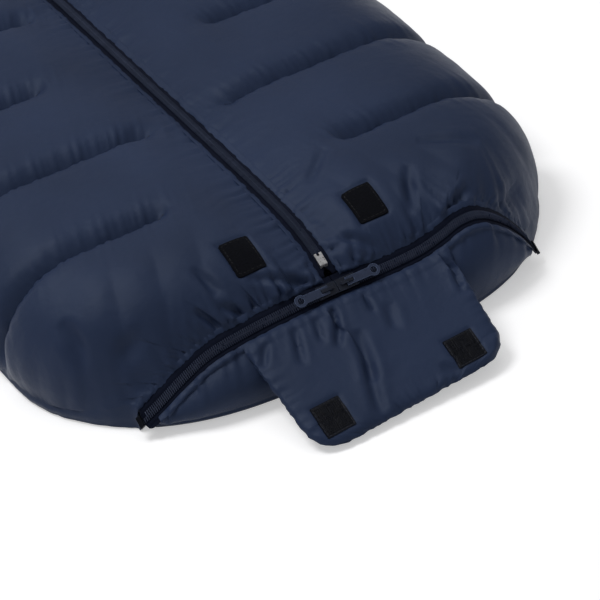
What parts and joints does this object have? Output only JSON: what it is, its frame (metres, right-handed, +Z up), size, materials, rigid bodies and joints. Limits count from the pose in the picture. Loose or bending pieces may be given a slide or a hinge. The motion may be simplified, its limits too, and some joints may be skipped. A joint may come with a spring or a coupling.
{
  "type": "stroller footmuff",
  "caption": "Padded sack for a pushchair seat: quilted covers with a centre zip, a curved foot zip with two sliders, a foot flap with hook patches, and a harness-slotted back.",
  "frame": {"origin": "on the flat underside of the back mat, below the middle of the foot zip", "axes": "+Y towards the head end, +Z up out of the back, +X across to the side that is on the right when seen from the foot"},
  "size_m": [0.458, 1.0397, 0.096],
  "materials": {
    "navy_nylon": "satin woven nylon",
    "wadding": "soft fibre",
    "fleece": "brushed fleece",
    "black_tape": "woven tape",
    "coil": "nylon coil",
    "loop_pile": "looped pile",
    "hook_pile": "hook tape",
    "steel": "bright stamped metal",
    "enamel": "blue-black enamel"
  },
  "bodies": {
    "back": {"back_shell": "navy_nylon", "back_wadding": "wadding", "back_lining": "fleece", "back_binding": "black_tape", "crotch_slot_binding": "black_tape", "shoulder_slot_binding_left": "black_tape", "shoulder_slot_binding_right": "black_tape", "waist_slot_binding_left": "black_tape", "waist_slot_binding_right": "black_tape", "foot_panel_shell": "navy_nylon", "foot_panel_wadding": "wadding", "foot_panel_lining": "fleece", "foot_tape_lower": "black_tape", "foot_coil_lower": "coil", "foot_zip_stop_left": "steel", "foot_zip_stop_right": "steel"},
    "cover_left": {"cover_left_shell": "navy_nylon", "cover_left_wadding": "wadding", "cover_left_lining": "fleece", "cover_hem_left": "black_tape", "loop_patch_left": "loop_pile", "foot_tape_upper_left": "black_tape", "foot_coil_upper_left": "coil", "centre_tape_left": "black_tape", "centre_coil_left": "coil", "centre_top_stop_left": "steel", "bottom_stop": "steel"},
    "cover_right": {"cover_right_shell": "navy_nylon", "cover_right_wadding": "wadding", "cover_right_lining": "fleece", "cover_hem_right": "black_tape", "loop_patch_right": "loop_pile", "foot_tape_upper_right": "black_tape", "foot_coil_upper_right": "coil", "centre_tape_right": "black_tape", "centre_coil_right": "coil", "centre_top_stop_right": "steel"},
    "foot_flap": {"flap_face": "navy_nylon", "flap_wadding": "wadding", "flap_backing": "navy_nylon", "hook_patch_left": "hook_pile", "hook_patch_right": "hook_pile"},
    "foot_slider_left": {"foot_slider_left": "enamel"},
    "foot_slider_right": {"foot_slider_right": "enamel"},
    "foot_pull_left": {"foot_pull_left": "enamel"},
    "foot_pull_right": {"foot_pull_right": "enamel"},
    "centre_slider": {"centre_slider": "enamel"},
    "centre_pull": {"centre_pull": "enamel"}
  },
  "joints": [
    {"name": "cover_left_fold", "type": "hinge", "parent": "back", "child": "cover_left", "pos_m": [-0.229, 0, 0.015], "axis": [0, -1, 0], "range_deg": [0, 120], "deforming": ["foot_tape_upper_left", "foot_coil_upper_left", "centre_tape_left", "centre_coil_left"]},
    {"name": "cover_right_fold", "type": "hinge", "parent": "back", "child": "cover_right", "pos_m": [0.229, 0, 0.015], "axis": [0, 1, 0], "range_deg": [0, 120], "deforming": ["foot_tape_upper_right", "foot_coil_upper_right", "centre_tape_right", "centre_coil_right"]},
    {"name": "foot_flap_fold", "type": "hinge", "parent": "back", "child": "foot_flap", "pos_m": [0, -0.019, 0.053], "axis": [-1, 0, 0], "range_deg": [0, 165]},
    {"name": "foot_slider_left_run", "type": "hinge", "parent": "back", "child": "foot_slider_left", "pos_m": [-0.0269, 0, -0.20926], "axis": [0, -1, 0], "range_deg": [0, 31.2], "deforming": ["foot_tape_lower", "foot_coil_lower"]},
    {"name": "foot_slider_right_run", "type": "hinge", "parent": "back", "child": "foot_slider_right", "pos_m": [0.08191, 0, -0.25209], "axis": [0, 1, 0], "range_deg": [0, 22.9]},
    {"name": "foot_pull_left_swing", "type": "hinge", "parent": "foot_slider_left", "child": "foot_pull_left", "pos_m": [-0.0083, -0.00295, 0.05909], "axis": [0, 0.8191, 0.5736], "range_deg": [0, 150]},
    {"name": "foot_pull_right_swing", "type": "hinge", "parent": "foot_slider_right", "child": "foot_pull_right", "pos_m": [0.0083, -0.00295, 0.05906], "axis": [0, -0.8191, -0.5736], "range_deg": [0, 150]},
    {"name": "centre_slider_run", "type": "slide", "parent": "cover_right", "child": "centre_slider", "axis": [0, -1, 0], "range_m": [0, 0.54]},
    {"name": "centre_pull_swing", "type": "hinge", "parent": "centre_slider", "child": "centre_pull", "pos_m": [0, 0.602, 0.08915], "axis": [-1, 0, 0], "range_deg": [0, 150]}
  ]
}
